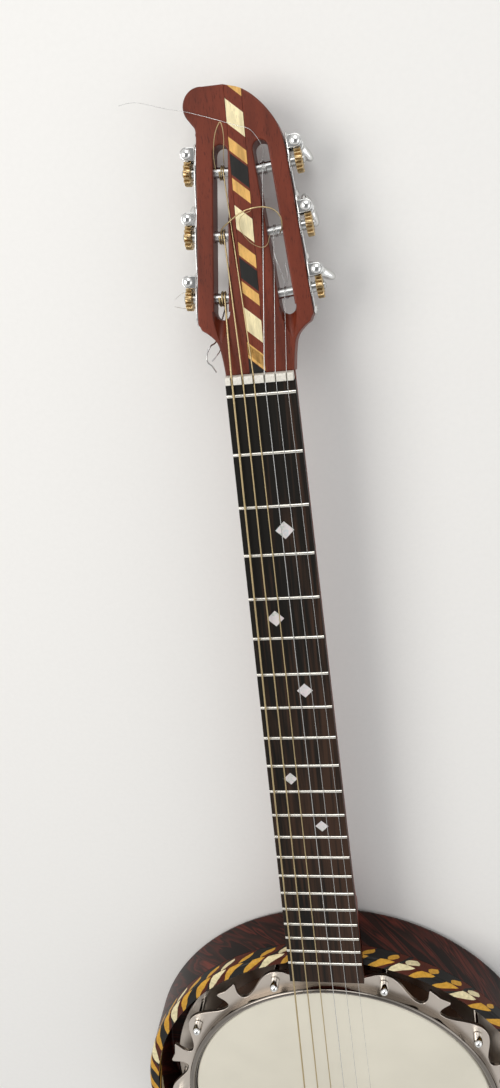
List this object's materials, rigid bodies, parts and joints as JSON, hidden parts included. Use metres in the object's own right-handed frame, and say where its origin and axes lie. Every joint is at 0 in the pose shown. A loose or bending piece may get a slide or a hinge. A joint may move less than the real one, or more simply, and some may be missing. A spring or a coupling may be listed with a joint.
{
  "type": "six-string banjo",
  "caption": "Guitar-necked banjo with a closed wooden back, a scalloped tension plate and a slotted headstock with worm-and-gear tuning machines.",
  "frame": {"origin": "middle of the resonator's flat back, which it lies on", "axes": "+Z out of the head, +Y along the neck to the headstock, +X to the treble side"},
  "size_m": [0.3332, 0.947, 0.0665],
  "materials": {
    "mahogany": "satin varnish",
    "maple": "varnish",
    "bridge_maple": "oiled",
    "rosewood": "gloss varnish",
    "ebony": "oiled",
    "strip_veneer": "satin varnish",
    "marquetry": "gloss varnish",
    "bone": "polished",
    "skin": "matt",
    "nickel": "plated",
    "steel": "turned",
    "plain_steel": "drawn wire",
    "bronze_winding": "wound",
    "brass": "milled"
  },
  "bodies": {
    "banjo": {"back_screw": "nickel", "bracket_ring": "nickel", "bridge": "bridge_maple", "dowel_stick": "maple", "drum_head": "skin", "fretboard": "ebony", "headstock_strip": "strip_veneer", "machine_strip_bass": "nickel", "machine_strip_treble": "nickel", "neck": "mahogany", "nut": "bone", "resonator": "rosewood", "rim": "maple", "rope_binding": "marquetry", "string_1": "bronze_winding", "string_2": "bronze_winding", "string_3": "bronze_winding", "string_4": "plain_steel", "string_5": "plain_steel", "string_6": "plain_steel", "tailpiece": "nickel", "tension_bolt_1": "nickel", "tension_bolt_10": "nickel", "tension_bolt_2": "nickel", "tension_bolt_3": "nickel", "tension_bolt_4": "nickel", "tension_bolt_5": "nickel", "tension_bolt_6": "nickel", "tension_bolt_7": "nickel", "tension_bolt_8": "nickel", "tension_bolt_9": "nickel", "tension_plate": "nickel"},
    "worm_and_button_bass_1": {"worm_bass_1": "steel", "button_bass_1": "nickel"},
    "gear_and_roller_bass_1": {"gear_bass_1": "brass", "roller_bass_1": "steel"},
    "worm_and_button_bass_2": {"worm_bass_2": "steel", "button_bass_2": "nickel"},
    "gear_and_roller_bass_2": {"gear_bass_2": "brass", "roller_bass_2": "steel"},
    "worm_and_button_bass_3": {"worm_bass_3": "steel", "button_bass_3": "nickel"},
    "gear_and_roller_bass_3": {"gear_bass_3": "brass", "roller_bass_3": "steel"},
    "worm_and_button_treble_1": {"worm_treble_1": "steel", "button_treble_1": "nickel"},
    "gear_and_roller_treble_1": {"gear_treble_1": "brass", "roller_treble_1": "steel"},
    "worm_and_button_treble_2": {"worm_treble_2": "steel", "button_treble_2": "nickel"},
    "gear_and_roller_treble_2": {"gear_treble_2": "brass", "roller_treble_2": "steel"},
    "worm_and_button_treble_3": {"worm_treble_3": "steel", "button_treble_3": "nickel"},
    "gear_and_roller_treble_3": {"gear_treble_3": "brass", "roller_treble_3": "steel"}
  },
  "joints": [
    {"name": "button_turn_bass_1", "type": "hinge", "parent": "banjo", "child": "worm_and_button_bass_1", "pos_m": [-0.03794, 0.67676, 0.04024], "axis": [0, 0.1392, 0.9903], "continuous": true},
    {"name": "roller_turn_bass_1", "type": "hinge", "parent": "banjo", "child": "gear_and_roller_bass_1", "pos_m": [-0.03883, 0.66738, 0.04155], "axis": [0.9956, -0.0932, 0.0131], "continuous": true},
    {"name": "button_turn_bass_2", "type": "hinge", "parent": "banjo", "child": "worm_and_button_bass_2", "pos_m": [-0.03465, 0.71126, 0.03539], "axis": [0, 0.1392, 0.9903], "continuous": true},
    {"name": "roller_turn_bass_2", "type": "hinge", "parent": "banjo", "child": "gear_and_roller_bass_2", "pos_m": [-0.03554, 0.70189, 0.0367], "axis": [0.9956, -0.0932, 0.0131], "continuous": true},
    {"name": "button_turn_bass_3", "type": "hinge", "parent": "banjo", "child": "worm_and_button_bass_3", "pos_m": [-0.03135, 0.74577, 0.03054], "axis": [0, 0.1392, 0.9903], "continuous": true},
    {"name": "roller_turn_bass_3", "type": "hinge", "parent": "banjo", "child": "gear_and_roller_bass_3", "pos_m": [-0.03225, 0.73639, 0.03185], "axis": [0.9956, -0.0932, 0.0131], "continuous": true},
    {"name": "button_turn_treble_1", "type": "hinge", "parent": "banjo", "child": "worm_and_button_treble_1", "pos_m": [0.03794, 0.67676, 0.04024], "axis": [0, 0.1392, 0.9903], "continuous": true},
    {"name": "roller_turn_treble_1", "type": "hinge", "parent": "banjo", "child": "gear_and_roller_treble_1", "pos_m": [0.03883, 0.66738, 0.04155], "axis": [0.9956, 0.0932, -0.0131], "continuous": true},
    {"name": "button_turn_treble_2", "type": "hinge", "parent": "banjo", "child": "worm_and_button_treble_2", "pos_m": [0.03465, 0.71126, 0.03539], "axis": [0, 0.1392, 0.9903], "continuous": true},
    {"name": "roller_turn_treble_2", "type": "hinge", "parent": "banjo", "child": "gear_and_roller_treble_2", "pos_m": [0.03554, 0.70189, 0.0367], "axis": [0.9956, 0.0932, -0.0131], "continuous": true},
    {"name": "button_turn_treble_3", "type": "hinge", "parent": "banjo", "child": "worm_and_button_treble_3", "pos_m": [0.03135, 0.74577, 0.03054], "axis": [0, 0.1392, 0.9903], "continuous": true},
    {"name": "roller_turn_treble_3", "type": "hinge", "parent": "banjo", "child": "gear_and_roller_treble_3", "pos_m": [0.03225, 0.73639, 0.03185], "axis": [0.9956, 0.0932, -0.0131], "continuous": true}
  ],
  "couplings": [
    {"joint": "roller_turn_bass_1", "follows": "button_turn_bass_1", "ratio": -0.071429},
    {"joint": "roller_turn_bass_2", "follows": "button_turn_bass_2", "ratio": -0.071429},
    {"joint": "roller_turn_bass_3", "follows": "button_turn_bass_3", "ratio": -0.071429},
    {"joint": "roller_turn_treble_1", "follows": "button_turn_treble_1", "ratio": -0.071429},
    {"joint": "roller_turn_treble_2", "follows": "button_turn_treble_2", "ratio": -0.071429},
    {"joint": "roller_turn_treble_3", "follows": "button_turn_treble_3", "ratio": -0.071429}
  ]
}
